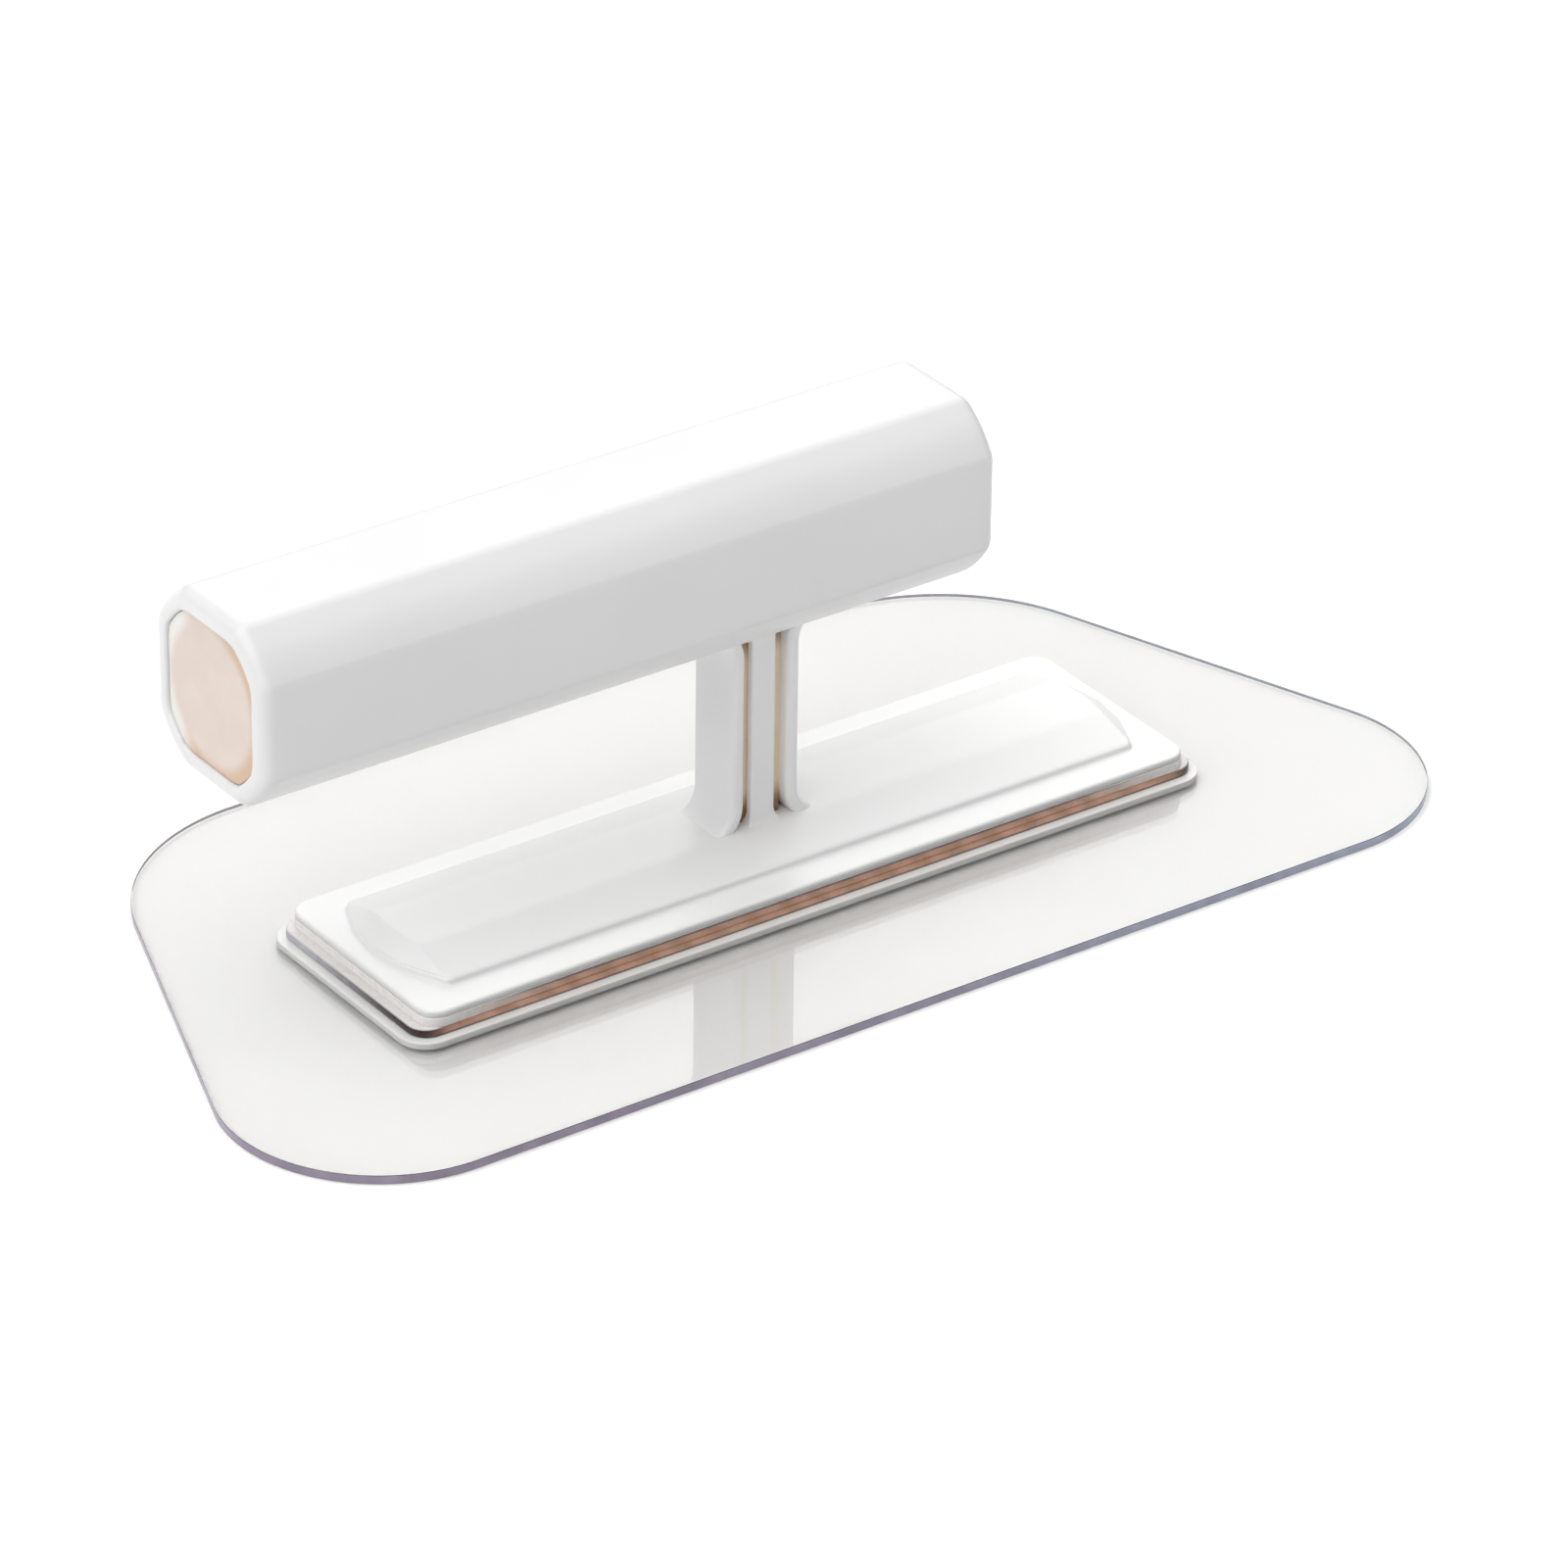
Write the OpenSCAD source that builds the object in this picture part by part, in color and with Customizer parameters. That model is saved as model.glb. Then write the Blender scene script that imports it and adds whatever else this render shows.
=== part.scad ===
// Clear-blade finishing trowel with a raised off-centre grip.
// +Z is up, the blade's underside lies on Z = 0, and the long front edge faces -Y.
// The grip runs along X and its longer arm points to -X.

/* [Blade] */
// Length of the front edge before its corners are rounded
blade_front_l = 242; // [200:1:300]
// Length of the back edge before its corners are rounded
blade_back_l = 163.5; // [140:0.5:190]
// Distance from the front edge to the back edge
blade_depth = 110; // [95:1:130]
// Thickness of the clear sheet
blade_t = 1.5; // [1:0.1:3]
// Corner radius at the front edge
blade_front_r = 26; // [15:1:32]
// Corner radius at the back edge
blade_back_r = 34; // [20:1:40]

/* [Bonded base] */
// Length of the white base
base_l = 145; // [130:1:156]
// Width of the white base
base_w = 40; // [34:0.5:44]
// Distance from the blade's middle to the base's centre line, towards the front
base_forward = 4; // [0:0.5:8]
// Thickness of the clear pad that is welded to the blade
pad_t = 1.2; // [0.8:0.1:3]
// Width of the pad that shows all round the adhesive layer
pad_margin = 1.5; // [0.5:0.1:3]
// Thickness of the amber adhesive layer
adhesive_t = 1.5; // [0.5:0.1:2]
// Distance that the adhesive layer reaches past each end of the base
adhesive_reach = 1.7; // [0:0.1:2.5]
// Thickness of the brown backing strip
strip_t = 1.5; // [1:0.1:3]
// Width of the backing strip that shows all round the base
strip_margin = 0.1; // [0:0.1:0.8]
// Thickness of the base's edge
flange_t = 1.2; // [1:0.1:2]
// Corner radius of the base
base_r = 3.5; // [2:0.5:6]

/* [Ridge of the base] */
// Width of the raised ridge
ridge_w = 28.6; // [25:0.2:32]
// Length of the raised ridge at its centre line
ridge_l = 139; // [125:1:141]
// Height of the upright step round the ridge
ridge_step = 1.1; // [0.5:0.1:1.5]
// Height of the ridge's flat top above the base
ridge_h = 3.4; // [2:0.1:5]
// Width of the ridge's flat top
ridge_top_w = 11.6; // [11:0.2:16]
// Plan radius of the ridge's bowed ends
ridge_end_r = 25; // [20:1:40]
// Length of the slope at each end of the ridge
ridge_ramp = 3.5; // [2:0.5:8]

/* [Column] */
// Width of the column along the grip
column_w = 12.5; // [11:0.1:16]
// Depth of the column across the grip
column_d = 11; // [9:0.5:13]
// Thickness of each of the column's two outer walls
column_wall = 2.2; // [1.5:0.1:2.5]
// Width of the rib that stands between the two grooves
rib_w = 4.5; // [3:0.1:5]
// Distance from the front of the walls back to the rib
rib_recess = 0.9; // [0.3:0.1:1.2]
// Radius of the flare where the walls meet the base and the grip
flare_r = 4.5; // [2:0.5:6]
// Thickness of the plates at the column's two ends
end_plate_t = 0.8; // [0.5:0.1:1.5]

/* [Grip] */
// Height of the grip's axis above the table
grip_z = 60.5; // [55:0.5:70]
// Width of the grip
grip_w = 30.4; // [28:0.2:34]
// Height of the grip
grip_h = 30.7; // [28:0.1:34]
// Size of the flat cut off each long corner
grip_cut = 7.5; // [6:0.5:9]
// Radius that softens each long edge
grip_edge_r = 3.5; // [1:0.5:5]
// Radius of the rolled rim at each end
rim_r = 2.4; // [1:0.1:3]
// Reach of the grip's long arm from the column's axis
grip_long_arm = 98; // [80:1:110]
// Reach of the grip's short arm from the column's axis
grip_short_arm = 36.5; // [30:0.5:60]
// Wall thickness of the sleeve
sleeve_wall = 3.3; // [2.5:0.1:4]
// Distance from the rim in to the face of each end plug
plug_recess = 0.6; // [0.2:0.1:2]
// Length of each end plug
plug_l = 9; // [5:1:14]

/* [Hidden fixing] */
// Diameter of the bolt's shank
bolt_d = 4; // [3:0.5:4]
// Diameter of the bolt's head
bolt_head_d = 8; // [6:0.5:10]
// Height of the bolt's head
bolt_head_h = 1.8; // [1.2:0.1:2]
// Width of the nut across its flats
nut_af = 7; // [6:0.5:8]
// Height of the nut
nut_h = 3.2; // [2.4:0.1:4]
// Length of the block inside the grip
core_l = 56; // [40:1:60]
// Height of the column's inner bar inside the block
tang_h = 5; // [3:0.5:6]

/* [Hidden] */

$fn = 96;
// Overlap that makes joined shapes share volume, and cutters break through
eps = 0.01;
// Distance that the cutters of the sleeve run past its open ends and its inner face
cutter_reach = 1;
// Smallest corner radius that the grip's section keeps when it is reduced
least_corner_r = 0.8;
// Free play around the bolt, the nut and the inner bar
play = 0.15;

base_y = -base_forward;
pad_z = blade_t;
adhesive_z = pad_z + pad_t;
strip_z = adhesive_z + adhesive_t;
base_z = strip_z + strip_t;
flange_z = base_z + flange_t;
top_z = flange_z + ridge_h;
grip_bottom = grip_z - grip_h / 2;
column_h = grip_bottom - top_z;

core_w = column_w - 2 * column_wall;
core_d = 6.4;
core_top = grip_bottom + sleeve_wall + tang_h;

washer_t = 0.8;
washer_d = 9;
head_hole_d = 11;
bolt_hole_r = bolt_d / 2 + play;
nut_z = grip_z - nut_h / 2;
bolt_past_nut = 1.5;

grip_l = grip_long_arm + grip_short_arm;
// Steps that round over the rim of the sleeve
rim_steps = 4;
hull_fn = 32;

// Geometry of a rounded corner p between the points before and after it
function unit(v) = v / norm(v);
function half_angle(a, p, b) = acos(unit(a - p) * unit(b - p)) / 2;
function arc_reach(a, p, b, r) = r / tan(half_angle(a, p, b));
function arc_centre(a, p, b, r) =
    p + unit(unit(a - p) + unit(b - p)) * r / sin(half_angle(a, p, b));

// Closed outline with one radius for each of its points
module rounded_outline(points, radii) {
    n = len(points);
    corners = [for (i = [0:n - 1]) [points[(i + n - 1) % n], points[i], points[(i + 1) % n]]];
    polygon([
        for (i = [0:n - 1])
            let (c = corners[i], d = arc_reach(c[0], c[1], c[2], radii[i]))
                each [c[1] + unit(c[0] - c[1]) * d, c[1] + unit(c[2] - c[1]) * d]
    ]);
    for (i = [0:n - 1])
        translate(arc_centre(corners[i][0], corners[i][1], corners[i][2], radii[i]))
            circle(r = radii[i]);
}

module rounded_rectangle(l, w, r) {
    rounded_outline([[-l / 2, -w / 2], [l / 2, -w / 2], [l / 2, w / 2], [-l / 2, w / 2]], [r, r, r, r]);
}

// Layer of the base's outline, grown by margin on every side and by reach at its two ends
module base_layer(z, t, margin, reach = 0) {
    l = base_l + 2 * (margin + reach);
    translate([0, base_y, z])
        linear_extrude(t)
            rounded_rectangle(l, base_w + 2 * margin, base_r + margin);
}

// Upright hole on the column's axis
module axis_hole(r, z, h) {
    translate([0, base_y, z])
        cylinder(r = r, h = h);
}

// Octagonal section of the grip in the YZ plane, reduced by inset on every side
module grip_section(inset) {
    w = grip_w / 2 - inset;
    h = grip_h / 2 - inset;
    c = grip_cut - inset * (2 - sqrt(2));
    r = max(grip_edge_r - inset, least_corner_r);
    points = [
        [-w, -h + c], [-w + c, -h], [w - c, -h], [w, -h + c],
        [w, h - c], [w - c, h], [-w + c, h], [-w, h - c]
    ];
    rounded_outline(points, [for (p = points) r]);
}

// Length of the grip section along X, starting at x
module grip_bar(x, l, inset) {
    translate([x, base_y, grip_z])
        rotate([90, 0, 90])
            linear_extrude(l)
                grip_section(inset);
}

module blade() {
    front = -blade_depth / 2;
    back = blade_depth / 2;
    color([0.93, 0.94, 0.96, 0.35])
        linear_extrude(blade_t)
            rounded_outline(
                [
                    [-blade_front_l / 2, front], [blade_front_l / 2, front],
                    [blade_back_l / 2, back], [-blade_back_l / 2, back]
                ],
                [blade_front_r, blade_front_r, blade_back_r, blade_back_r]
            );
}

module blade_pad() {
    color([0.9, 0.92, 0.95, 0.4])
        base_layer(pad_z, pad_t, pad_margin, adhesive_reach);
}

module adhesive_layer() {
    color([0.62, 0.36, 0.16])
        difference() {
            base_layer(adhesive_z, adhesive_t, 0, adhesive_reach);
            axis_hole(head_hole_d / 2, adhesive_z - eps, adhesive_t + 2 * eps);
        }
}

module backing_strip() {
    color([0.42, 0.26, 0.19])
        difference() {
            base_layer(strip_z, strip_t, strip_margin);
            axis_hole(head_hole_d / 2, strip_z - eps, strip_t + 2 * eps);
        }
}

// Low ridge with a flat top, sloped long sides and a bowed slope at each end
module ridge() {
    side = ridge_w / 2;
    top = ridge_top_w / 2;
    end_x = ridge_l / 2 - ridge_end_r;
    intersection() {
        translate([-ridge_l / 2, base_y, flange_z])
            rotate([90, 0, 90])
                linear_extrude(ridge_l)
                    polygon([
                        [-side, -eps], [side, -eps], [side, ridge_step],
                        [top, ridge_h], [-top, ridge_h], [-side, ridge_step]
                    ]);
        translate([0, base_y, flange_z - eps])
            union() {
                translate([-end_x, -side, 0])
                    cube([2 * end_x, ridge_w, ridge_h + 2 * eps]);
                for (s = [-1, 1])
                    translate([s * end_x, 0, 0])
                        ridge_end();
            }
    }
}

// Drum that rounds off one end of the ridge and leans back above the step
module ridge_end() {
    cylinder(r = ridge_end_r, h = ridge_step + eps);
    translate([0, 0, ridge_step])
        cylinder(r1 = ridge_end_r, r2 = ridge_end_r - ridge_ramp, h = ridge_h - ridge_step + 2 * eps);
}

module base() {
    color([0.95, 0.95, 0.94])
        difference() {
            union() {
                base_layer(base_z, flange_t, 0);
                ridge();
            }
            axis_hole(bolt_hole_r, base_z - eps, top_z - base_z + 2 * eps);
        }
}

// Foot of a column wall, which curves outward and keeps the wall's thickness
module wall_foot() {
    centre = [column_w / 2 + flare_r, flare_r];
    translate([0, column_d / 2, 0])
        rotate([90, 0, 0])
            linear_extrude(column_d)
                difference() {
                    intersection() {
                        translate(centre)
                            circle(r = flare_r + column_wall);
                        translate([column_w / 2 - column_wall, 0])
                            square([column_wall + flare_r, flare_r + eps]);
                    }
                    translate(centre)
                        circle(r = flare_r);
                }
}

module column() {
    rib_d = column_d / 2 - rib_recess - core_d / 2;
    color([0.95, 0.95, 0.95])
        translate([0, base_y, top_z])
            difference() {
                union() {
                    for (s = [0, 1])
                        mirror([s, 0, 0]) {
                            translate([column_w / 2 - column_wall, -column_d / 2, flare_r])
                                cube([column_wall, column_d, column_h - 2 * flare_r]);
                            wall_foot();
                            translate([0, 0, column_h])
                                mirror([0, 0, 1])
                                    wall_foot();
                        }
                    for (s = [0, 1])
                        mirror([0, s, 0])
                            translate([-rib_w / 2, core_d / 2, 0])
                                cube([rib_w, rib_d, column_h]);
                    for (z = [0, column_h - end_plate_t])
                        translate([-column_w / 2, -column_d / 2 + rib_recess, z])
                            cube([column_w, column_d - 2 * rib_recess, end_plate_t]);
                }
                translate([-core_w / 2, -core_d / 2, -eps])
                    cube([core_w, core_d, column_h + 2 * eps]);
            }
}

module column_core() {
    color([0.72, 0.62, 0.48])
        difference() {
            translate([-core_w / 2, base_y - core_d / 2, top_z])
                cube([core_w, core_d, core_top - top_z]);
            axis_hole(bolt_hole_r, top_z - eps, core_top - top_z + 2 * eps);
        }
}

// Nested bars whose hull has a rolled rim at each end
module rim_bars() {
    for (i = [0:rim_steps]) {
        a = 90 * i / rim_steps;
        inset = rim_r * (1 - cos(a));
        reach = rim_r * (1 - sin(a));
        grip_bar(-grip_long_arm + reach, grip_l - 2 * reach, inset, $fn = hull_fn);
    }
}

module grip_sleeve() {
    color([0.96, 0.96, 0.97])
        difference() {
            hull()
                rim_bars();
            grip_bar(-grip_long_arm - cutter_reach, grip_l + 2 * cutter_reach, sleeve_wall);
            translate([-core_w / 2, base_y - core_d / 2, grip_bottom - cutter_reach])
                cube([core_w, core_d, sleeve_wall + 2 * cutter_reach]);
        }
}

module near_end_plug() {
    color([0.88, 0.83, 0.79])
        grip_bar(-grip_long_arm + plug_recess, plug_l, sleeve_wall);
}

module far_end_plug() {
    color([0.88, 0.83, 0.79])
        grip_bar(grip_short_arm - plug_recess - plug_l, plug_l, sleeve_wall);
}

// Block inside the sleeve, with a pocket for the inner bar and a side slot for the nut
module grip_core() {
    core_back = grip_short_arm - plug_recess - plug_l;
    color([0.86, 0.8, 0.72])
        difference() {
            grip_bar(core_back - core_l, core_l, sleeve_wall);
            translate([-core_w / 2, base_y - core_d / 2, grip_bottom])
                cube([core_w, core_d, core_top - grip_bottom]);
            axis_hole(bolt_hole_r, grip_bottom, nut_z + nut_h + 2 * bolt_past_nut - grip_bottom);
            translate([-nut_af / 2 - play, base_y - nut_af / sqrt(3) - play, nut_z])
                cube([nut_af + 2 * play, grip_w, nut_h + play]);
        }
}

module tie_bolt() {
    shank_z = base_z - washer_t;
    color([0.7, 0.7, 0.72])
        union() {
            axis_hole(bolt_head_d / 2, shank_z - bolt_head_h, bolt_head_h);
            axis_hole(bolt_d / 2, shank_z - eps, nut_z + nut_h + bolt_past_nut - shank_z + eps);
        }
}

module bolt_washer() {
    color([0.75, 0.75, 0.77])
        difference() {
            axis_hole(washer_d / 2, base_z - washer_t, washer_t);
            axis_hole(bolt_hole_r, base_z - washer_t - eps, washer_t + 2 * eps);
        }
}

module bolt_nut() {
    color([0.68, 0.68, 0.7])
        difference() {
            translate([0, base_y, nut_z])
                rotate(90)
                    cylinder(r = nut_af / sqrt(3), h = nut_h, $fn = 6);
            axis_hole(bolt_d / 2, nut_z - eps, nut_h + 2 * eps);
        }
}

blade();
blade_pad();
adhesive_layer();
backing_strip();
base();
column();
column_core();
grip_sleeve();
near_end_plug();
far_end_plug();
grip_core();
tie_bolt();
bolt_washer();
bolt_nut();
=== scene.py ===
"""Clear-blade finishing trowel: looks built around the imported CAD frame.

Metres, +Z up, long blade edge at -Y, the grip's long arm towards -X.
"""

import math

import bpy
import numpy as np
from mathutils import Matrix, Vector


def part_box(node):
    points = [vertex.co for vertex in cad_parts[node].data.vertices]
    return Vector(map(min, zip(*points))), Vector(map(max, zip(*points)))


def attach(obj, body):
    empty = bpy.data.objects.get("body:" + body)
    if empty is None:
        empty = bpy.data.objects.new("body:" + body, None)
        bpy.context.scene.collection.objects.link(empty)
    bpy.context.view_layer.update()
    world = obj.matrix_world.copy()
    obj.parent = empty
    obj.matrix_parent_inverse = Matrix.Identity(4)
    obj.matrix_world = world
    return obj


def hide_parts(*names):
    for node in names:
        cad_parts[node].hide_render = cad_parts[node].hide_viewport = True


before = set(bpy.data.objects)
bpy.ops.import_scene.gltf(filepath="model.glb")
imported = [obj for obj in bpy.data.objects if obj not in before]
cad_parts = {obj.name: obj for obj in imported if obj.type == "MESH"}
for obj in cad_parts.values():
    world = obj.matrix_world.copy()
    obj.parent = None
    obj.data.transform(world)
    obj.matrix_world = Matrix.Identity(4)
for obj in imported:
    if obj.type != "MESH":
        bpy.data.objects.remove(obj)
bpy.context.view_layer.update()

MM = 0.001
BODY = "root"

# ------------------------------------------------ driving sizes, the same as the CAD solids have
BLADE_FRONT_HALF = 121 * MM
BLADE_BACK_HALF = 81.75 * MM
BLADE_FRONT_R = 26 * MM
BLADE_BACK_R = 34 * MM
BASE_R = 3.5 * MM
PAD_R = 5 * MM
FLANGE_T = 1.2 * MM
RIDGE_HALF_L = 69.5 * MM
RIDGE_HALF_W = 14.3 * MM
RIDGE_TOP_HALF_W = 5.8 * MM
RIDGE_END_R = 25 * MM
RIDGE_STEP = 1.1 * MM
RIDGE_RAMP = 3.5 * MM
RIDGE_FOOT_CORNER = 1.3 * MM
RIDGE_TOP_CORNER = 0.8 * MM
GRIP_CUT = 7.5 * MM
GRIP_CROWN = 0.7 * MM
SLEEVE_WALL = 3.3 * MM
RIM_R = 2.4 * MM
COLUMN_WALL = 2.2 * MM
FLARE_R = 4.5 * MM
RIB_HALF_W = 2.25 * MM
RIB_RECESS = 0.9 * MM

# ------------------------------------------------ softened edges and clearances of the visual model
SHEET_EDGE = 0.12 * MM
PAD_EDGE = 0.14 * MM
PAD_CLEARANCE = 0.03 * MM
BOND_EDGE = 0.35 * MM
STRIP_EDGE = 0.12 * MM
FLANGE_EDGE = 0.45 * MM
WALL_EDGE = 0.85 * MM
RIB_EDGE = 0.35 * MM
SADDLE_T = 1.0 * MM
SADDLE_EDGE = 0.35 * MM
SADDLE_CORNER = 1.2 * MM
# Depth that the column's foot reaches into the base
SINK = 0.3 * MM
LIP_EDGE = 0.5 * MM
PLUG_EDGE = 0.4 * MM
PLUG_CLEARANCE = 0.02 * MM
# Faces of the blade whose normal has a smaller Z than this belong to its cut edge
UPRIGHT_LIMIT = 0.7
# Turn of the column's walls at their curved feet and heads
SWEEP = math.radians(84)

blade_lo, blade_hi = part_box("blade")
pad_lo, pad_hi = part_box("blade_pad")
bond_lo, bond_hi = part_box("adhesive_layer")
strip_lo, strip_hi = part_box("backing_strip")
base_lo, base_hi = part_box("base")
column_lo, column_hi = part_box("column")
core_lo, core_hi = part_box("column_core")
sleeve_lo, sleeve_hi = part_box("grip_sleeve")
near_lo, near_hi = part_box("near_end_plug")
far_lo, far_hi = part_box("far_end_plug")

AXIS_Y = (base_lo.y + base_hi.y) / 2
GRIP_Z = (sleeve_lo.z + sleeve_hi.z) / 2


# ------------------------------------------------ camera, light and floor
CAMERA_TURNS = (-35.7, 29.6, 0.74)
CAMERA_DISTANCE = 1.406
CAMERA_LENS = 202.5
CAMERA_SENSOR = 36
TARGET_X = 0.0185
TARGET_PAST_AXIS = 0.0155
# Each glow: direction of its middle, cosines where it starts and peaks, radiance outside and inside
DOME = ((0.48, 0.02, 1), 0.5, 1.3, 0.06, 1.98)
KEY = ((-0.67, -0.03, 1), 0.7, 0.95, 0.0, 2.7)
BACKDROP = ((0.51, 0.71, 0.49), 0.88, 0.97, 0.0, 1.45)
WARM_WHITE = (1, 0.998, 0.994, 1)
PAPER_WHITE = (0.97, 0.97, 0.97, 1)
FLOOR_HALF = 4.0
FLOOR_Z = -0.0002


def make_camera():
    """Long-lens camera at the photographed angle: azimuth, elevation and roll in degrees."""
    azimuth, elevation, roll = (math.radians(a) for a in CAMERA_TURNS)
    target = Vector((TARGET_X, AXIS_Y + TARGET_PAST_AXIS, blade_hi.z))
    back = Vector(
        (
            math.sin(azimuth) * math.cos(elevation),
            -math.cos(azimuth) * math.cos(elevation),
            math.sin(elevation),
        )
    )
    level = (-back).cross(Vector((0, 0, 1))).normalized()
    upward = level.cross(-back)
    right = math.cos(roll) * level + math.sin(roll) * upward
    top = math.cos(roll) * upward - math.sin(roll) * level
    turn = Matrix((right, top, back)).transposed().to_4x4()
    data = bpy.data.cameras.new("camera")
    data.sensor_width = CAMERA_SENSOR
    data.lens = CAMERA_LENS
    data.clip_start = 0.05
    data.clip_end = 20
    camera = bpy.data.objects.new("camera", data)
    camera.matrix_world = Matrix.Translation(target + back * CAMERA_DISTANCE) @ turn
    bpy.context.scene.collection.objects.link(camera)
    bpy.context.scene.camera = camera


def node(tree, kind, **inputs):
    """A shader node with its properties (lower-case names) and input values (by socket name) set."""
    made = tree.nodes.new(kind)
    for name, value in inputs.items():
        if name in made.inputs:
            made.inputs[name].default_value = value
        else:
            setattr(made, name, value)
    return made


def sky_glow(tree, where, direction, start, end, low, high):
    """Radiance that rises from low to high as the angle to a direction closes. start and end are cosines."""
    lean = tree.nodes.new("ShaderNodeVectorMath")
    lean.operation = "DOT_PRODUCT"
    lean.inputs[1].default_value = Vector(direction).normalized()
    ramp = tree.nodes.new("ShaderNodeMapRange")
    ramp.interpolation_type = "SMOOTHSTEP"
    for name, value in (("From Min", start), ("From Max", end), ("To Min", low), ("To Max", high)):
        ramp.inputs[name].default_value = value
    tree.links.new(where, lean.inputs[0])
    tree.links.new(lean.outputs["Value"], ramp.inputs["Value"])
    return ramp.outputs["Result"]


def make_world():
    """Soft studio dome, a key at the upper left and a backdrop. The camera itself sees a pale wall."""
    world = bpy.data.worlds.new("studio")
    bpy.context.scene.world = world
    world.use_nodes = True
    tree = world.node_tree
    tree.nodes.clear()
    where = tree.nodes.new("ShaderNodeTexCoord").outputs["Generated"]
    dome, key, backdrop = (sky_glow(tree, where, *glow) for glow in (DOME, KEY, BACKDROP))
    background = tree.nodes.new("ShaderNodeBackground")
    background.inputs["Color"].default_value = WARM_WHITE
    output = tree.nodes.new("ShaderNodeOutputWorld")
    total = math_node(tree, "ADD", math_node(tree, "ADD", dome, key), backdrop)
    seen = tree.nodes.new("ShaderNodeLightPath").outputs["Is Camera Ray"]
    tree.links.new(math_node(tree, "MAXIMUM", total, seen), background.inputs["Strength"])
    tree.links.new(background.outputs[0], output.inputs["Surface"])


def make_floor():
    """Matt pale paper just under the blade."""
    mesh = bpy.data.meshes.new("floor")
    corners = [(x * FLOOR_HALF, y * FLOOR_HALF, FLOOR_Z) for x, y in ((-1, -1), (1, -1), (1, 1), (-1, 1))]
    mesh.from_pydata(corners, [], [(0, 1, 2, 3)])
    floor = bpy.data.objects.new("floor", mesh)
    bpy.context.scene.collection.objects.link(floor)
    material = bpy.data.materials.new("floor_paper")
    material.use_nodes = True
    shader = material.node_tree.nodes["Principled BSDF"]
    shader.inputs["Base Color"].default_value = PAPER_WHITE
    shader.inputs["Roughness"].default_value = 1
    shader.inputs["Specular IOR Level"].default_value = 0
    mesh.materials.append(material)


# ------------------------------------------------ outlines and meshes
def turned(vector, angle):
    """The vector turned counter-clockwise in its plane."""
    c, s = math.cos(angle), math.sin(angle)
    return np.array((c * vector[0] - s * vector[1], s * vector[0] + c * vector[1]))


def turn_between(before, after):
    """Signed angle from one direction to the next."""
    return math.atan2(before[0] * after[1] - before[1] * after[0], float(before @ after))


def outline(points, radii, bulges, arc_steps=10, edge_shares=(0.02, 0.25, 0.5, 0.75, 0.98)):
    """Counter-clockwise outline of a polygon with rounded corners and edges bowed outward by their bulge."""
    points = [np.array(p, float) for p in points]
    count = len(points)
    lengths, leaving, arriving = [], [], []
    for i in range(count):
        chord = points[(i + 1) % count] - points[i]
        length = np.linalg.norm(chord)
        lean = 2 * math.atan(2 * bulges[i] / length)
        lengths.append(length)
        leaving.append(turned(chord / length, -lean))
        arriving.append(turned(chord / length, lean))
    turns = [turn_between(arriving[i - 1], leaving[i]) for i in range(count)]
    reaches = [radii[i] * math.tan(turns[i] / 2) for i in range(count)]
    loop = []
    for i in range(count):
        entry = points[i] - arriving[i - 1] * reaches[i]
        centre = entry + turned(arriving[i - 1], math.pi / 2) * radii[i]
        for k in range(arc_steps + 1):
            loop.append(centre + turned(entry - centre, turns[i] * k / arc_steps))
        after = (i + 1) % count
        chord = points[after] - points[i]
        outward = turned(chord / lengths[i], -math.pi / 2)
        share_in = reaches[i] / lengths[i]
        share_out = 1 - reaches[after] / lengths[i]
        for t in edge_shares:
            u = share_in + (share_out - share_in) * t
            loop.append(points[i] + chord * u + outward * bulges[i] * 4 * u * (1 - u))
    return np.array(loop)


def rectangle_loop(half_l, half_w, radius, bow=0.0, **steps):
    """Loop in plan of a rounded rectangle about the origin whose two short ends bow outward."""
    points = [(half_l, -half_w), (half_l, half_w), (-half_l, half_w), (-half_l, -half_w)]
    return outline(points, [radius] * 4, [bow, 0, bow, 0], **steps)


def make_piece(name, vertices, faces, materials, sharp_angle=35, *, replaces):
    """A smooth-shaded mesh object that rides on the body and stands in for CAD nodes."""
    mesh = bpy.data.meshes.new(name)
    mesh.from_pydata([tuple(map(float, v)) for v in vertices], [], faces)
    mesh.validate()
    for polygon in mesh.polygons:
        polygon.use_smooth = True
    mesh.update()
    mesh.set_sharp_from_angle(angle=math.radians(sharp_angle))
    for material in materials:
        mesh.materials.append(material)
    piece = bpy.data.objects.new(name, mesh)
    bpy.context.scene.collection.objects.link(piece)
    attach(piece, BODY)
    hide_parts(*replaces)
    return piece


def loft(rings, closed=False):
    """Vertices and faces of a skin over rings of equal length, capped at both ends or closed on itself."""
    count = len(rings[0])
    vertices = [p for ring in rings for p in ring]
    faces = []
    spans = len(rings) if closed else len(rings) - 1
    for j in range(spans):
        a, b = j * count, ((j + 1) % len(rings)) * count
        for i in range(count):
            k = (i + 1) % count
            faces.append((a + i, a + k, b + k, b + i))
    if not closed:
        faces.append(tuple(reversed(range(count))))
        last = (len(rings) - 1) * count
        faces.append(tuple(range(last, last + count)))
    return vertices, faces


def merged(parts):
    """One vertex and face list from several closed shells."""
    vertices, faces = [], []
    for part_vertices, part_faces in parts:
        shift = len(vertices)
        vertices += list(part_vertices)
        faces += [tuple(i + shift for i in face) for face in part_faces]
    return vertices, faces


def plan_ring(loop, z):
    """Ring at height z of a loop drawn about the column's axis."""
    return [(x, y + AXIS_Y, z) for x, y in loop]


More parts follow.
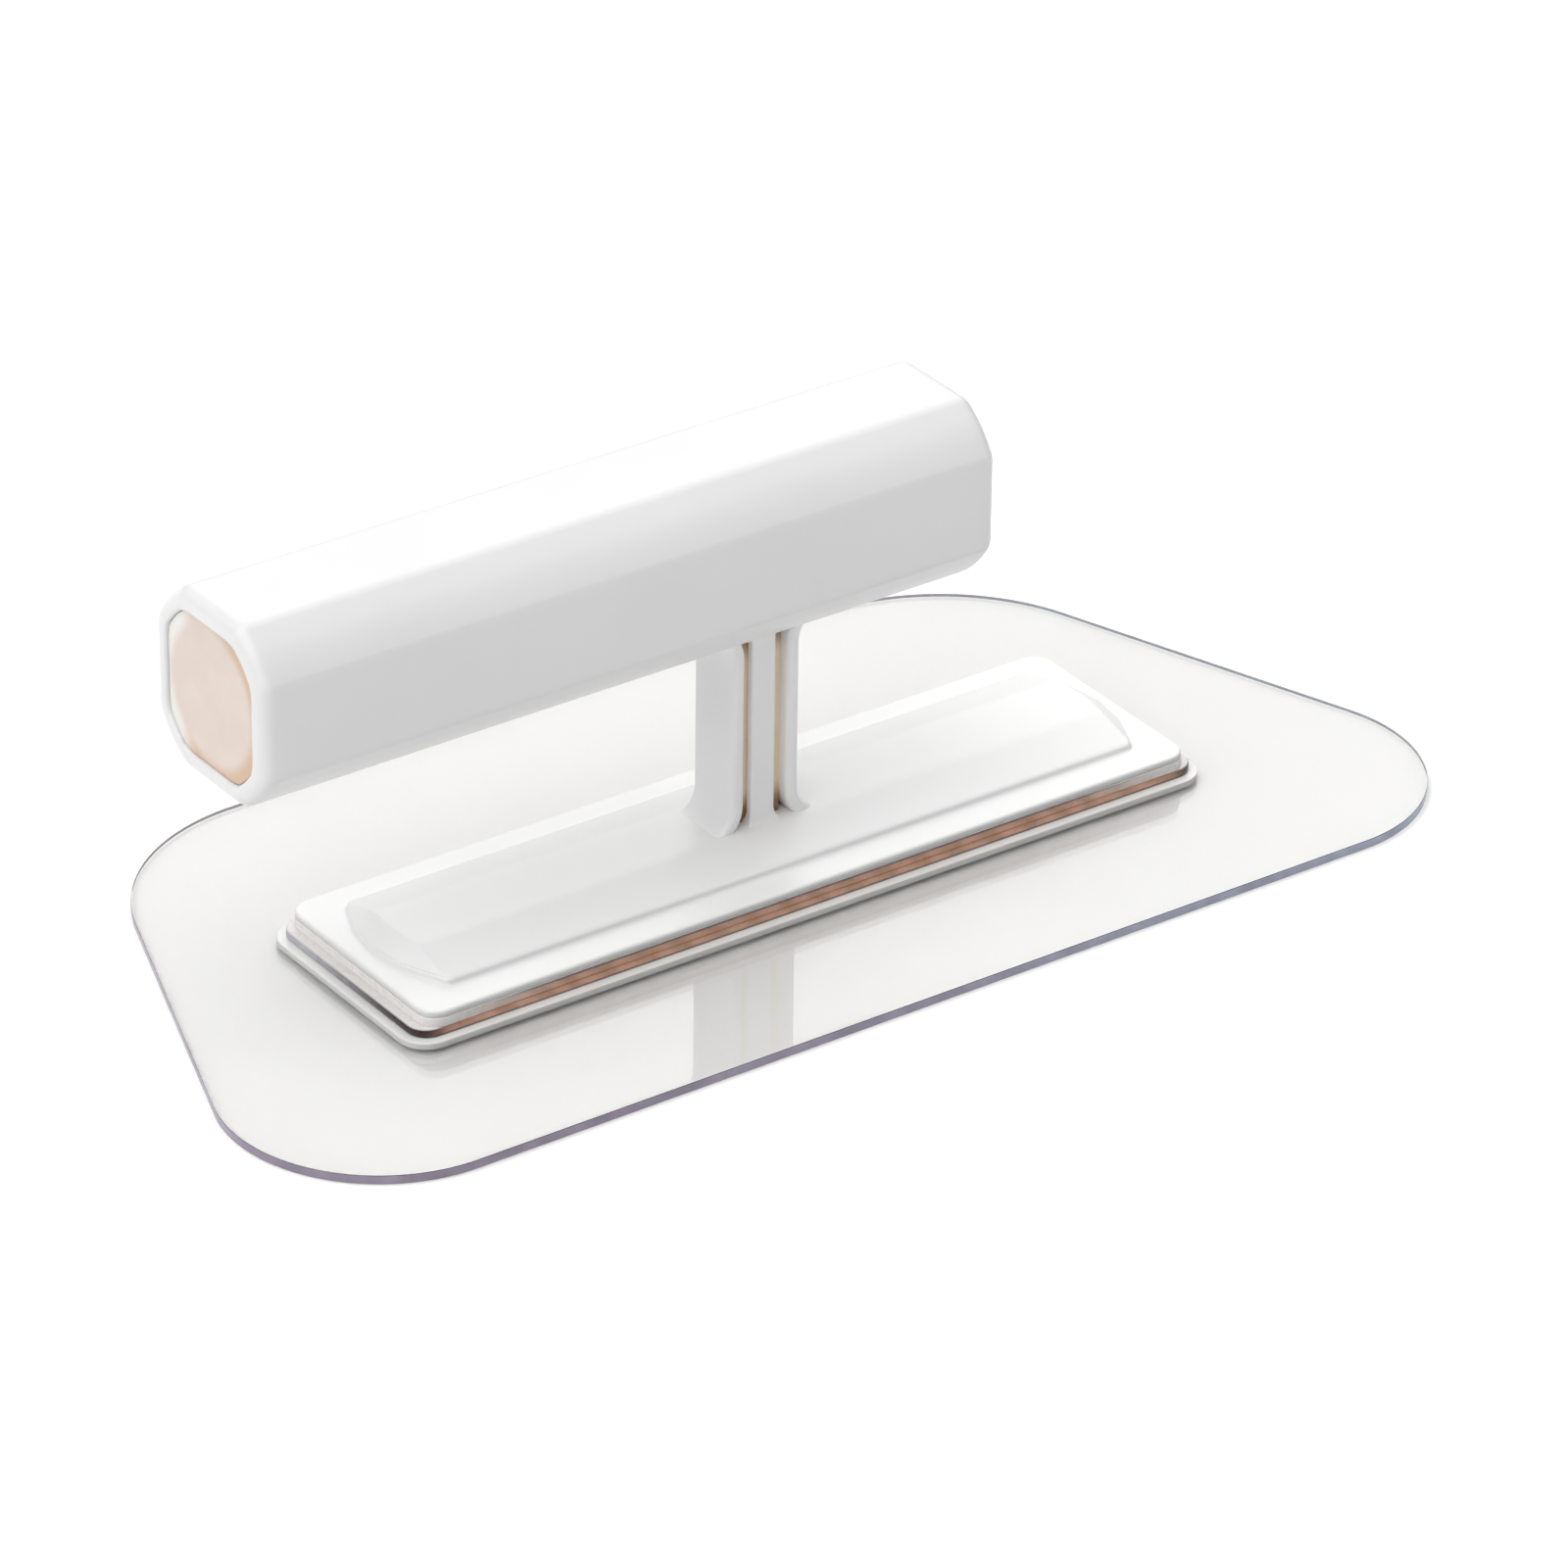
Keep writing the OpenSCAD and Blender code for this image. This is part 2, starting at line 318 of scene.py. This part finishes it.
def quarter_round(radius, steps):
    """Distance in from the end, and inset from the side, of the points of a quarter circle."""
    angles = [math.pi / 2 * k / steps for k in range(steps + 1)]
    return [(radius * (1 - math.sin(a)), radius * (1 - math.cos(a))) for a in angles]


def rounded_slab(loops_at, z0, z1, edge):
    """Rings of a flat slab with softened edges. loops_at(inset) gives its outline.

    A further ring just inside each flat face keeps the shading of the face flat.
    """
    rings = [(loops_at(side), z0 + up) for side, up in quarter_round(edge, 3)]
    rings += [(loops_at(side), z1 - down) for down, side in quarter_round(edge, 3)]
    support = edge * 1.4
    return [(loops_at(support), z0), *rings, (loops_at(support), z1)]


# ------------------------------------------------ materials
def new_material(name):
    """A material, its node tree, its shader and the position socket that its textures read."""
    material = bpy.data.materials.new(name)
    material.use_nodes = True
    tree = material.node_tree
    shader = tree.nodes["Principled BSDF"]
    where = tree.nodes.new("ShaderNodeTexCoord")
    return material, tree, shader, where.outputs["Object"]


def noise(tree, where, scale, detail):
    """Cloudy noise around one half, in features of 1 / scale metres."""
    made = node(tree, "ShaderNodeTexNoise", Scale=scale, Detail=detail)
    tree.links.new(where, made.inputs["Vector"])
    return made.outputs["Fac"]


def two_colours(tree, factor, low, high, spread=(0.35, 0.65)):
    """A colour that goes from low to high as the factor crosses the spread."""
    ramp = tree.nodes.new("ShaderNodeValToRGB")
    ramp.color_ramp.elements[0].position = spread[0]
    ramp.color_ramp.elements[1].position = spread[1]
    ramp.color_ramp.elements[0].color = (*low, 1)
    ramp.color_ramp.elements[1].color = (*high, 1)
    tree.links.new(factor, ramp.inputs["Fac"])
    return ramp.outputs["Color"]


def value_range(tree, factor, low, high):
    """A value between low and high from the middle range of a noise."""
    made = tree.nodes.new("ShaderNodeMapRange")
    made.inputs["From Min"].default_value = 0.3
    made.inputs["From Max"].default_value = 0.7
    made.inputs["To Min"].default_value = low
    made.inputs["To Max"].default_value = high
    tree.links.new(factor, made.inputs["Value"])
    return made.outputs["Result"]


def add_bump(tree, shader, height, strength, distance):
    """Fine surface relief, with its depth in metres."""
    bump = node(tree, "ShaderNodeBump", Strength=strength, Distance=distance)
    tree.links.new(height, bump.inputs["Height"])
    tree.links.new(bump.outputs["Normal"], shader.inputs["Normal"])


def moulded_plastic(name, low, high, rough=(0.29, 0.33)):
    """Injection-moulded plastic: faint cloudy colour, uneven gloss and a fine mould texture."""
    material, tree, shader, where = new_material(name)
    tree.links.new(two_colours(tree, noise(tree, where, 38, 4), low, high), shader.inputs["Base Color"])
    tree.links.new(value_range(tree, noise(tree, where, 160, 3), *rough), shader.inputs["Roughness"])
    add_bump(tree, shader, noise(tree, where, 2600, 2), 0.03, 0.00004)
    shader.inputs["IOR"].default_value = 1.5
    return material


def mix_colour(tree, factor, low, high):
    """Blends two colours, each a socket or a plain RGB value, by a factor socket."""
    mix = tree.nodes.new("ShaderNodeMix")
    mix.data_type = "RGBA"
    tree.links.new(factor, mix.inputs["Factor"])
    for socket, value in ((mix.inputs["A"], low), (mix.inputs["B"], high)):
        if isinstance(value, tuple):
            socket.default_value = (*value, 1)
        else:
            tree.links.new(value, socket)
    return mix.outputs["Result"]


def mask(tree, value, start, end):
    """0 to 1, smoothly, as the value socket goes from start to end."""
    made = tree.nodes.new("ShaderNodeMapRange")
    made.interpolation_type = "SMOOTHSTEP"
    turned_round = start > end
    made.inputs["From Min"].default_value = min(start, end)
    made.inputs["From Max"].default_value = max(start, end)
    made.inputs["To Min"].default_value = 1.0 if turned_round else 0.0
    made.inputs["To Max"].default_value = 0.0 if turned_round else 1.0
    tree.links.new(value, made.inputs["Value"])
    return made.outputs["Result"]


def math_node(tree, operation, a, b=None):
    """Result of a sum on one or two values, each a socket or a plain number."""
    made = tree.nodes.new("ShaderNodeMath")
    made.operation = operation
    for socket, value in zip(made.inputs, (a, b)):
        if value is None:
            continue
        if isinstance(value, (int, float)):
            socket.default_value = value
        else:
            tree.links.new(value, socket)
    return made.outputs["Value"]


def split(tree, vector):
    """X, Y and Z outputs of a vector."""
    made = tree.nodes.new("ShaderNodeSeparateXYZ")
    tree.links.new(vector, made.inputs[0])
    return made.outputs


def surface_normal(tree):
    """X, Y and Z outputs of the face's own normal."""
    return split(tree, tree.nodes.new("ShaderNodeNewGeometry").outputs["True Normal"])


def clear_plastic(name, low, high):
    """Clear plastic with a faint body tint that drifts a little over the sheet."""
    material, tree, shader, where = new_material(name)
    tree.links.new(two_colours(tree, noise(tree, where, 25, 2), low, high), shader.inputs["Base Color"])
    shader.inputs["Transmission Weight"].default_value = 1
    shader.inputs["IOR"].default_value = 1.49
    tree.links.new(value_range(tree, noise(tree, where, 60, 3), 0.012, 0.03), shader.inputs["Roughness"])
    return material


def cut_edge_material(name):
    """Cut edge of the clear sheet: dusky violet, and bluer towards +X, both painted reflection standing in
    for the dark inner reflections of the clear edge.
    """
    material, tree, shader, where = new_material(name)
    # Painted reflection: the dark violet and its shift to blue towards +X stand in for the clear edge's
    # inner reflections
    bluer_light_share = mask(tree, split(tree, where)["X"], -0.07, 0.12)
    violet = two_colours(tree, noise(tree, where, 160, 3), (0.23, 0.195, 0.26), (0.31, 0.27, 0.36))
    blue = two_colours(tree, noise(tree, where, 220, 3), (0.25, 0.27, 0.36), (0.33, 0.38, 0.48))
    tree.links.new(mix_colour(tree, bluer_light_share, violet, blue), shader.inputs["Base Color"])
    tree.links.new(value_range(tree, noise(tree, where, 300, 2), 0.12, 0.22), shader.inputs["Roughness"])
    return material


def pad_painted_light_plastic(name):
    """Welded pad: a glossy film whose milky white is painted light, standing in for the light seen through
    the clear pad; it lets a little of what is behind it through.
    """
    material, tree, shader, where = new_material(name)
    colour = two_colours(tree, noise(tree, where, 80, 3), (0.9, 0.9, 0.88), (0.94, 0.94, 0.93))
    tree.links.new(colour, shader.inputs["Base Color"])
    tree.links.new(value_range(tree, noise(tree, where, 150, 3), 0.08, 0.2), shader.inputs["Roughness"])
    shader.inputs["Alpha"].default_value = 0.85
    return material


def bond_material(name, layer):
    """Brown bonded layers, mottled, with painted shade as dark lines at their top and bottom joints: the
    shadow under the flange's edge and at the contact below.

    The strip fades to pale grey at its ends. The bond's ends are painted shade at the front, nearly black,
    and painted light behind, a paler grey.
    """
    material, tree, shader, where = new_material(name)
    axes = split(tree, where)
    weave = node(tree, "ShaderNodeTexWave", Scale=95, Distortion=3.5, Detail=2)
    weave.bands_direction = "DIAGONAL"
    tree.links.new(where, weave.inputs["Vector"])
    body = two_colours(tree, weave.outputs["Fac"], (0.64, 0.36, 0.235), (0.79, 0.45, 0.32), (0.1, 0.9))
    joint_painted_shade, pale_end, ledge_colour = (0.2, 0.16, 0.17), (0.92, 0.9, 0.89), (0.72, 0.7, 0.68)
    end_front_painted_shade, end_back_painted_light = (0.04, 0.02, 0.022), (0.5, 0.5, 0.55)
    # Painted shade: dark lines at the top joint under the flange's edge and at the bottom contact
    top = mask(tree, axes["Z"], strip_hi.z - 0.6 * MM, strip_hi.z - 0.2 * MM)
    bottom = mask(tree, axes["Z"], bond_lo.z + 0.45 * MM, bond_lo.z + 0.1 * MM)
    colour = mix_colour(tree, math_node(tree, "MAXIMUM", top, bottom), body, joint_painted_shade)
    reach = math_node(tree, "ABSOLUTE", axes["X"])
    if layer == "strip":
        colour = mix_colour(tree, mask(tree, reach, 46 * MM, 72 * MM), colour, pale_end)
    else:
        # Painted shade at the front of the bond's ends, painted light behind
        behind = mask(tree, axes["Y"], -20 * MM, 12 * MM)
        end = mix_colour(tree, behind, end_front_painted_shade, end_back_painted_light)
        colour = mix_colour(tree, mask(tree, reach, 66 * MM, 73.5 * MM), colour, end)
    ledge = mask(tree, surface_normal(tree)["Z"], 0.5, 0.9)
    tree.links.new(mix_colour(tree, ledge, colour, ledge_colour), shader.inputs["Base Color"])
    tree.links.new(value_range(tree, noise(tree, where, 300, 2), 0.2, 0.4), shader.inputs["Roughness"])
    add_bump(tree, shader, weave.outputs["Fac"], 0.15, 0.00005)
    return material


def plug_material(name):
    """Ivory moulding, mottled, with a rim of painted shade, browner, at the front and bottom of the face and
    a rim of painted light, paler, behind.
    """
    material, tree, shader, where = new_material(name)
    axes = split(tree, where)
    body = two_colours(tree, noise(tree, where, 95, 4), (0.66, 0.56, 0.495), (0.7, 0.605, 0.55))
    rim_painted_shade, rim_painted_light, rim_light_and_shade_strength = (0.6, 0.4, 0.26), (0.8, 0.82, 0.78), 0.8
    across = math_node(tree, "SUBTRACT", axes["Y"], AXIS_Y)
    up = math_node(tree, "SUBTRACT", axes["Z"], GRIP_Z)
    across_squared = math_node(tree, "MULTIPLY", across, across)
    up_squared = math_node(tree, "MULTIPLY", up, up)
    distance = math_node(tree, "SQRT", math_node(tree, "ADD", across_squared, up_squared))
    # Painted shade and light near the face's rim: browner at the front and bottom where the near rim shades
    # the dish, paler behind where the far wall is lit
    rim = mask(tree, distance, 10.2 * MM, 12.3 * MM)
    front = mask(tree, across, 2 * MM, -7 * MM)
    low = mask(tree, up, -5 * MM, -11 * MM)
    brown = math_node(tree, "MULTIPLY", rim, math_node(tree, "MAXIMUM", front, low))
    pale = math_node(tree, "MULTIPLY", rim, mask(tree, across, 4 * MM, 9 * MM))
    colour = mix_colour(tree, math_node(tree, "MULTIPLY", brown, rim_light_and_shade_strength), body, rim_painted_shade)
    colour = mix_colour(tree, math_node(tree, "MULTIPLY", pale, rim_light_and_shade_strength), colour, rim_painted_light)
    tree.links.new(colour, shader.inputs["Base Color"])
    tree.links.new(value_range(tree, noise(tree, where, 240, 3), 0.42, 0.56), shader.inputs["Roughness"])
    add_bump(tree, shader, noise(tree, where, 1900, 3), 0.12, 0.00005)
    return material


def core_material(name):
    """Tan moulding whose tan is painted shade, the warm shade seen in the column's grooves, and that turns
    browner, more painted shade, at the foot and head of the grooves.
    """
    material, tree, shader, where = new_material(name)
    height = split(tree, where)["Z"]
    body = two_colours(tree, noise(tree, where, 120, 3), (0.93, 0.78, 0.57), (0.96, 0.84, 0.63))
    # Painted shade: the groove's foot and head are darkened brown as if shaded in deeper pockets
    foot = mask(tree, height, column_lo.z + 6 * MM, column_lo.z + 1.5 * MM)
    head = mask(tree, height, column_hi.z - 7 * MM, column_hi.z - 2 * MM)
    colour = mix_colour(tree, math_node(tree, "MAXIMUM", foot, head), body, (0.33, 0.17, 0.07))
    tree.links.new(colour, shader.inputs["Base Color"])
    tree.links.new(value_range(tree, noise(tree, where, 300, 3), 0.45, 0.6), shader.inputs["Roughness"])
    add_bump(tree, shader, noise(tree, where, 1500, 2), 0.1, 0.00005)
    return material


def steel(name):
    """Zinc-plated steel with a fine grain."""
    material, tree, shader, where = new_material(name)
    shader.inputs["Metallic"].default_value = 1
    colour = two_colours(tree, noise(tree, where, 700, 3), (0.5, 0.5, 0.52), (0.68, 0.68, 0.7))
    tree.links.new(colour, shader.inputs["Base Color"])
    tree.links.new(value_range(tree, noise(tree, where, 1500, 2), 0.25, 0.45), shader.inputs["Roughness"])
    return material


sheet_plastic = clear_plastic("clear_sheet", (0.996, 0.992, 0.98), (0.999, 0.997, 0.99))
cut_edge = cut_edge_material("clear_sheet_edge")
pad_painted_light = pad_painted_light_plastic("clear_pad")
# Base, column and grip are one white plastic; their tones differ as painted light and shade: the column,
# shaded by the grip, is painted lightest, the grip, under the strongest light, is painted darkest
base_white_toned_for_light = moulded_plastic("white_base_plastic", (0.87, 0.87, 0.863), (0.88, 0.88, 0.88))
column_white_painted_light = moulded_plastic("white_column_plastic", (0.945, 0.945, 0.95), (0.955, 0.955, 0.965))
grip_white_painted_shade = moulded_plastic("white_grip_plastic", (0.73, 0.73, 0.737), (0.745, 0.745, 0.75), (0.3, 0.34))
plug_plastic = plug_material("ivory_plastic")
tan_plastic = core_material("tan_plastic")
amber = bond_material("amber_adhesive", "bond")
brown = bond_material("brown_strip", "strip")
bolt_steel = steel("zinc_steel")


# ------------------------------------------------ pieces
def make_blade():
    """Clear sheet with softened edges. Its upright faces get the material of the cut edge."""
    front, back = blade_lo.y, blade_hi.y

    def loops_at(inset):
        taper = (BLADE_FRONT_HALF - BLADE_BACK_HALF) / (back - front)
        slant = math.hypot(1, taper) * inset
        lean = taper * inset
        points = [
            (BLADE_FRONT_HALF - slant - lean, front + inset),
            (BLADE_BACK_HALF - slant + lean, back - inset),
            (-BLADE_BACK_HALF + slant - lean, back - inset),
            (-BLADE_FRONT_HALF + slant + lean, front + inset),
        ]
        radii = [BLADE_FRONT_R - inset, BLADE_BACK_R - inset, BLADE_BACK_R - inset, BLADE_FRONT_R - inset]
        return outline(points, radii, [0, 0, 0, 0], arc_steps=40)

    rings = rounded_slab(loops_at, blade_lo.z, blade_hi.z, SHEET_EDGE)
    vertices, faces = loft([[(x, y, z) for x, y in loop] for loop, z in rings])
    sheet = make_piece(
        "blade_sheet", vertices, faces, [sheet_plastic, cut_edge], replaces=["blade"]
    )
    for polygon in sheet.data.polygons:
        if abs(polygon.normal.z) < UPRIGHT_LIMIT:
            polygon.material_index = 1


def make_layer(name, cad_node, lo, hi, radius, edge, material, lift=0.0):
    """Flat layer of the base's outline with softened edges."""
    half_l = (hi.x - lo.x) / 2
    half_w = (hi.y - lo.y) / 2

    def loops_at(inset):
        return rectangle_loop(half_l - inset, half_w - inset, radius - inset)

    rings = rounded_slab(loops_at, lo.z + lift, hi.z - lift, edge)
    vertices, faces = loft([plan_ring(loop, z) for loop, z in rings])
    make_piece(name, vertices, faces, [material], replaces=[cad_node])


def ridge_loop(share, grow):
    """Outline of the ridge: its foot at share 0 and its flat top at share 1."""

    def sagitta(radius, half_chord):
        return radius - math.sqrt(radius * radius - half_chord * half_chord)

    foot_bow = sagitta(RIDGE_END_R, RIDGE_HALF_W)
    top_bow = sagitta(RIDGE_END_R - RIDGE_RAMP, RIDGE_TOP_HALF_W)
    half_w = RIDGE_HALF_W + (RIDGE_TOP_HALF_W - RIDGE_HALF_W) * share + grow
    bow = foot_bow + (top_bow - foot_bow) * share
    half_l = RIDGE_HALF_L - RIDGE_RAMP * share - bow + grow
    corner = RIDGE_FOOT_CORNER + (RIDGE_TOP_CORNER - RIDGE_FOOT_CORNER) * share
    return rectangle_loop(half_l, half_w, corner + 0.5 * grow, bow, arc_steps=8)


def make_base():
    """Flange with rounded edges, and the ridge that rises from it in a small step and sloped sides."""
    half_l = (base_hi.x - base_lo.x) / 2
    half_w = (base_hi.y - base_lo.y) / 2
    z0, z1, top = base_lo.z, base_lo.z + FLANGE_T, base_hi.z

    def flange_loop(inset):
        return rectangle_loop(half_l - inset, half_w - inset, BASE_R - inset, arc_steps=8)

    rings = [(flange_loop(0.3 * MM), z0), (flange_loop(0.1 * MM), z0), (flange_loop(0), z0 + 0.1 * MM)]
    rings += [(flange_loop(side), z1 - down) for down, side in quarter_round(FLANGE_EDGE, 5)]
    rings.append((flange_loop(0.8 * MM), z1))
    # Growth of the ridge's outline and height above the flange, in millimetres
    fillet = ((0.9, 0.0), (0.45, 0.03), (0.2, 0.12), (0.05, 0.3))
    rounded_top = ((0.0, 0.5), (0.0, 0.75), (-0.06, 0.95), (-0.22, 1.08))
    for grow, height in fillet + rounded_top:
        rings.append((ridge_loop(0, grow * MM), z1 + height * MM))
    rise = top - z1 - RIDGE_STEP
    # Share of the way up the ridge's slope, and drop below it in millimetres
    slope = ((0.06, 0.0), (0.1, 0.0), (0.5, 0.0), (0.9, 0.0))
    rounded_crest = ((0.95, 0.02), (1.0, 0.08), (1.05, 0.02), (1.1, 0.0))
    for share, drop in slope + rounded_crest:
        rings.append((ridge_loop(share, 0), z1 + RIDGE_STEP + rise * min(share, 1) - drop * MM))
    vertices, faces = loft([plan_ring(loop, z) for loop, z in rings])
    make_piece("base_moulding", vertices, faces, [base_white_toned_for_light], 50, replaces=["base"])


def section_ring(centre, across, deep, half_t, half_d, radius):
    """Ring of a rounded rectangle in the plane of two directions."""
    loop = rectangle_loop(half_t, half_d, radius, arc_steps=6, edge_shares=(0.05, 0.5, 0.95))
    return [tuple(centre + across * u + deep * v) for u, v in loop]


def make_column():
    """Two outer walls with curved feet and heads, two ribs in front of and behind the core, and a saddle."""
    half_d = (column_hi.y - column_lo.y) / 2
    foot, head = column_lo.z - SINK, column_hi.z
    wall_x = (column_hi.x - FLARE_R) - COLUMN_WALL / 2
    middle_r = FLARE_R + COLUMN_WALL / 2
    shells = []
    angles = [SWEEP * k / 10 for k in range(11)]
    path = []
    for a in reversed(angles):
        path.append((wall_x + middle_r * (1 - math.cos(a)), foot + FLARE_R - middle_r * math.sin(a), a))
    for share in (0.02, 0.3, 0.5, 0.7, 0.98):
        path.append((wall_x, foot + FLARE_R + (head - foot - 2 * FLARE_R) * share, 0.0))
    for a in angles:
        path.append((wall_x + middle_r * (1 - math.cos(a)), head - FLARE_R + middle_r * math.sin(a), -a))
    for side in (-1, 1):
        rings = []
        for x, z, a in path:
            across = Vector((side * math.cos(a), 0, math.sin(a)))
            middle = Vector((side * x, AXIS_Y, z))
            deep = Vector((0, side, 0))
            rings.append(section_ring(middle, across, deep, COLUMN_WALL / 2, half_d, WALL_EDGE))
        shells.append(loft(rings))
    rib_d = (half_d - RIB_RECESS - (core_hi.y - core_lo.y) / 2) / 2
    # Height and growth of the ribs' section, which flares at both ends
    rib_profile = (
        (foot, 0.9 * MM),
        (column_lo.z + 0.3 * MM, 0.5 * MM),
        (column_lo.z + 0.8 * MM, 0.15 * MM),
        (column_lo.z + 1.6 * MM, 0),
        (head - 2.4 * MM, 0),
        (head - 1.5 * MM, 0.15 * MM),
        (head - 0.9 * MM, 0.5 * MM),
        (head - 0.5 * MM, 0.9 * MM),
    )
    for side in (-1, 1):
        y = AXIS_Y + side * ((core_hi.y - core_lo.y) / 2 + rib_d)
        rings = []
        for z, grow in rib_profile:
            sides = (RIB_HALF_W + grow, rib_d + grow)
            middle = Vector((0, y, z))
            rings.append(section_ring(middle, Vector((1, 0, 0)), Vector((0, 1, 0)), *sides, RIB_EDGE))
        shells.append(loft(rings))

    def saddle_at(inset):
        return rectangle_loop(column_hi.x - inset, half_d - inset, SADDLE_CORNER - inset, arc_steps=6)

    saddle = rounded_slab(saddle_at, head - SADDLE_T, head, SADDLE_EDGE)
    shells.append(loft([plan_ring(loop, z) for loop, z in saddle]))
    vertices, faces = merged(shells)
    materials = [column_white_painted_light]
    make_piece("column_moulding", vertices, faces, materials, replaces=["column"])


def grip_loop(inset):
    """Loop of the grip's section in the YZ plane: flat top, bottom and sides, crowned diagonal faces."""
    w = (sleeve_hi.y - sleeve_lo.y) / 2 - inset
    h = (sleeve_hi.z - sleeve_lo.z) / 2 - inset
    c = GRIP_CUT - inset * (2 - math.sqrt(2))
    right = [(w - c, -h), (w, -h + c), (w, h - c), (w - c, h)]
    left = [(-w + c, h), (-w, h - c), (-w, -h + c), (-w + c, -h)]
    # The corners towards top and bottom are blunter than those at the sides, and all are rounder inside
    blunt = (3.4 + 4 * inset / SLEEVE_WALL) * MM
    crisp = (1.8 + 5.6 * inset / SLEEVE_WALL) * MM
    radii = [blunt, crisp, crisp, blunt] * 2
    return outline(right + left, radii, [GRIP_CROWN, 0] * 4, arc_steps=6)


def grip_ring(x, inset):
    """Ring of the grip's section at x, reduced by inset."""
    return [(x, AXIS_Y + y, GRIP_Z + z) for y, z in grip_loop(inset)]


def make_sleeve():
    """Hollow grip: outer skin, rolled rims, softened lips and bore in one closed sweep."""
    x0, x1 = sleeve_lo.x, sleeve_hi.x
    rim = quarter_round(RIM_R, 7)
    lip = quarter_round(LIP_EDGE, 7)
    left = [(x0 + reach, inset) for reach, inset in reversed(rim)]
    left_lip = [(x0 + reach, SLEEVE_WALL - inset) for reach, inset in lip]
    outer_share = (0.01, 0.25, 0.5, 0.75, 0.99)
    outer = [(x0 + RIM_R + (x1 - x0 - 2 * RIM_R) * t, 0.0) for t in outer_share]
    right = [(x1 - reach, inset) for reach, inset in rim]
    right_lip = [(x1 - reach, SLEEVE_WALL - inset) for reach, inset in reversed(lip)]
    inner = [(x1 + (x0 - x1) * t, SLEEVE_WALL) for t in (0.02, 0.1, 0.5, 0.9, 0.98)]
    whole = left_lip + left + outer + right + right_lip + inner
    vertices, faces = loft([grip_ring(x, inset) for x, inset in whole], closed=True)
    materials = [grip_white_painted_shade]
    make_piece("grip_shell", vertices, faces, materials, 60, replaces=["grip_sleeve"])


def make_plug(name, cad_node, lo, hi, mouth):
    """End plug with a slightly dished face. mouth is -1 for the end at -X, and 1 for the other."""
    face_x = lo.x if mouth < 0 else hi.x
    inner_x = hi.x if mouth < 0 else lo.x
    fit = SLEEVE_WALL + PLUG_CLEARANCE
    rings = [grip_ring(inner_x, fit + PLUG_EDGE), grip_ring(inner_x + mouth * PLUG_EDGE, fit)]
    rings.append(grip_ring(face_x - mouth * 0.5 * MM, fit))
    for reach, inset in quarter_round(PLUG_EDGE, 5)[1:]:
        rings.append(grip_ring(face_x - mouth * reach, fit + inset))
    face_ring = rings[-1]
    for scale, dish in ((0.97, 0.01), (0.85, 0.06), (0.65, 0.16), (0.4, 0.25), (0.12, 0.3)):
        x = face_x - mouth * dish * MM
        ring = []
        for _, y, z in face_ring:
            ring.append((x, AXIS_Y + (y - AXIS_Y) * scale, GRIP_Z + (z - GRIP_Z) * scale))
        rings.append(ring)
    vertices, faces = loft(rings if mouth > 0 else rings[::-1])
    make_piece(name, vertices, faces, [plug_plastic], 50, replaces=[cad_node])


def dress(cad_node, material):
    """Gives a CAD node its material."""
    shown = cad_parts[cad_node]
    shown.data.materials.clear()
    shown.data.materials.append(material)


# ------------------------------------------------ the scene
make_camera()
make_world()
make_floor()
bpy.context.scene.view_settings.view_transform = "Standard"

make_blade()
make_layer(
    "pad_clear", "blade_pad", pad_lo, pad_hi, PAD_R, PAD_EDGE, pad_painted_light, PAD_CLEARANCE
)
make_layer("bond_layer", "adhesive_layer", bond_lo, bond_hi, BASE_R, BOND_EDGE, amber)
make_layer("strip_layer", "backing_strip", strip_lo, strip_hi, BASE_R, STRIP_EDGE, brown)
make_base()
make_column()
make_sleeve()
make_plug("plug_near", "near_end_plug", near_lo, near_hi, -1)
make_plug("plug_far", "far_end_plug", far_lo, far_hi, 1)
dress("column_core", tan_plastic)
dress("grip_core", tan_plastic)
dress("tie_bolt", bolt_steel)
dress("bolt_washer", bolt_steel)
dress("bolt_nut", bolt_steel)
